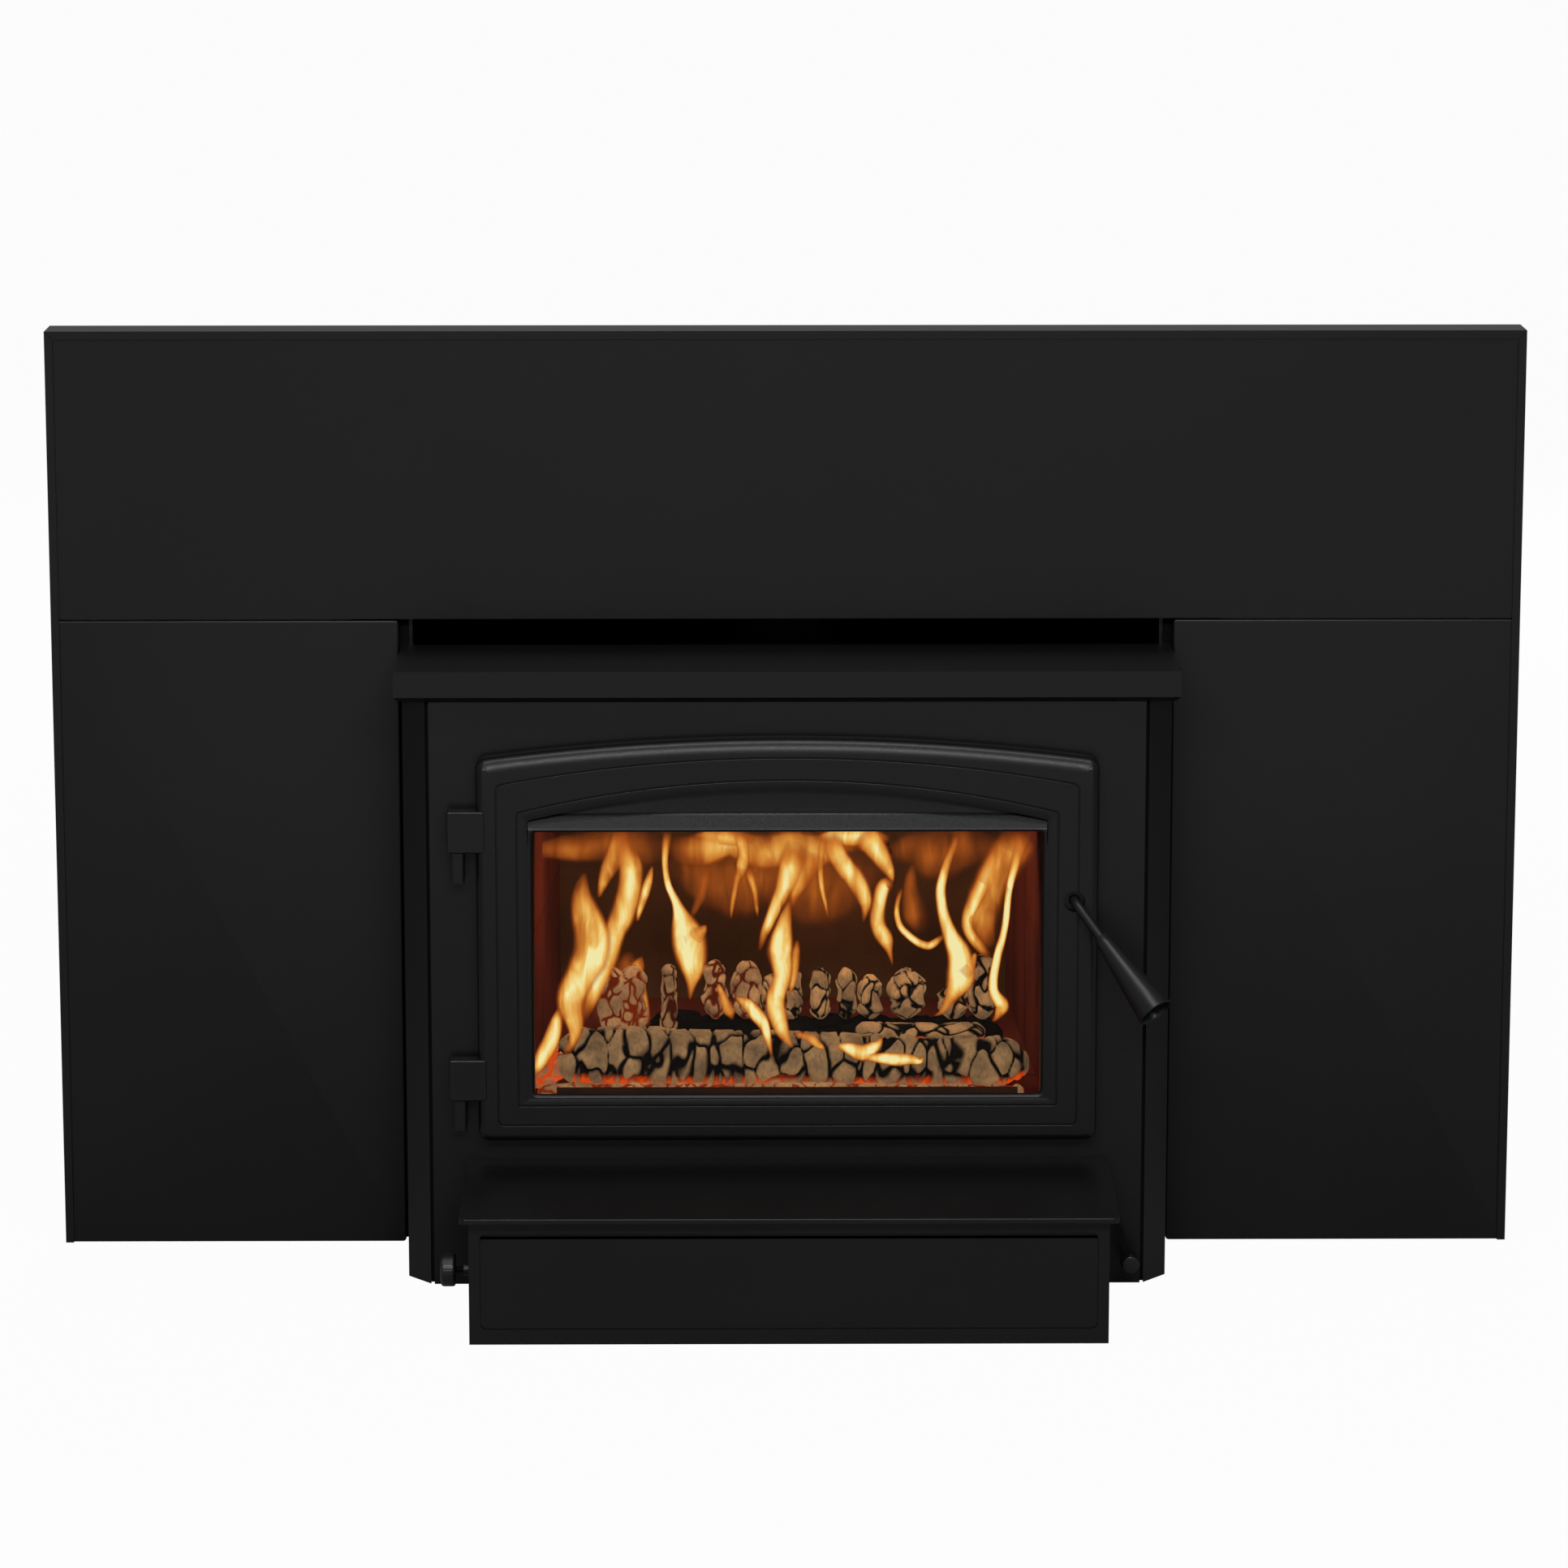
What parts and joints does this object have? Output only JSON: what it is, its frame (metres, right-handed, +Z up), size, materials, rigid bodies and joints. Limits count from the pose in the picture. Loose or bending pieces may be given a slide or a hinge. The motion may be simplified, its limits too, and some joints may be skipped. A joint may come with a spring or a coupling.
{
  "type": "fireplace insert",
  "caption": "Wood-burning fireplace insert with an arched cast door, ash lip, blower box, air lever and panelled surround.",
  "frame": {"origin": "on the hearth under the base plate, on the centre line, in the plane of the fireplace's face that the surround's back rests on", "axes": "+X to the viewer's right, +Y into the fireplace, +Z up"},
  "size_m": [1.27, 0.76, 0.8085],
  "materials": {
    "black_paint": "matt high-temperature black paint on sheet steel",
    "cast_paint": "satin high-temperature black paint on a fine-grained casting",
    "handle_paint": "satin black paint on turned steel",
    "bare_steel": "unpainted steel, dulled by heat",
    "firebrick": "dry red firebrick, darkened by smoke",
    "baffle_board": "pale mineral board, sooted",
    "ceramic_glass": "clear heat-proof glass",
    "rope_gasket": "braided glass-fibre rope, blackened",
    "black_plastic": "satin black heat-proof plastic"
  },
  "bodies": {
    "root": {"surround_top_panel": "black_paint", "surround_left_panel": "black_paint", "surround_right_panel": "black_paint", "trim_top": "black_paint", "trim_left": "black_paint", "trim_right": "black_paint", "surround_bracket_left": "black_paint", "surround_bracket_right": "black_paint", "base_plate": "black_paint", "casing_left": "black_paint", "casing_right": "black_paint", "casing_back": "black_paint", "casing_top": "black_paint", "corner_strip_left": "black_paint", "corner_strip_right": "black_paint", "front_plate": "black_paint", "top_hood": "black_paint", "firebox_floor": "black_paint", "firebox_left_wall": "black_paint", "firebox_right_wall": "black_paint", "firebox_back_wall": "black_paint", "firebox_roof": "black_paint", "flue_collar": "cast_paint", "firebox_support_left": "black_paint", "firebox_support_right": "black_paint", "brick_floor": "firebrick", "brick_left": "firebrick", "brick_right": "firebrick", "brick_back": "firebrick", "baffle_left": "baffle_board", "baffle_right": "baffle_board", "air_tube_front": "bare_steel", "air_tube_middle": "bare_steel", "air_tube_rear": "bare_steel", "air_intake_box": "black_paint", "hinge_barrel_upper": "cast_paint", "hinge_barrel_lower": "cast_paint", "ash_lip": "black_paint", "blower_housing": "black_paint", "blower_cover": "black_paint", "blower_motor": "bare_steel", "speed_control": "bare_steel"},
    "door": {"door_frame": "cast_paint", "door_glass": "ceramic_glass", "door_gasket": "rope_gasket", "glass_retainer_top": "bare_steel", "glass_retainer_bottom": "bare_steel", "hinge_pin_upper": "bare_steel", "hinge_pin_lower": "bare_steel"},
    "latch": {"handle_rod": "handle_paint", "handle_grip": "handle_paint", "grip_screw": "bare_steel", "latch_cam": "bare_steel"},
    "air_control": {"air_damper": "bare_steel", "air_control_lever": "black_paint", "air_control_knob": "black_plastic"},
    "speed": {"speed_knob": "black_plastic"},
    "rotor": {"motor_shaft": "bare_steel", "fan_wheel_left": "bare_steel", "fan_wheel_right": "bare_steel"}
  },
  "joints": [
    {"name": "door_swing", "type": "hinge", "parent": "root", "child": "door", "pos_m": [-0.279, -0.186, 0.28], "axis": [0, 0, -1], "range_deg": [0, 120]},
    {"name": "latch_turn", "type": "hinge", "parent": "door", "child": "latch", "pos_m": [0.243, -0.196, 0.341], "axis": [0, -1, 0], "range_deg": [-35, 50]},
    {"name": "air_lever_turn", "type": "hinge", "parent": "root", "child": "air_control", "pos_m": [0.272, -0.19, 0.09], "axis": [0, -1, 0], "range_deg": [-14, 27]},
    {"name": "speed_knob_turn", "type": "hinge", "parent": "root", "child": "speed", "pos_m": [-0.28, -0.259, 0.038], "axis": [-1, 0, 0], "range_deg": [0, 270]},
    {"name": "fan_spin", "type": "hinge", "parent": "root", "child": "rotor", "pos_m": [0, -0.262, 0.05355], "axis": [1, 0, 0], "continuous": true}
  ]
}
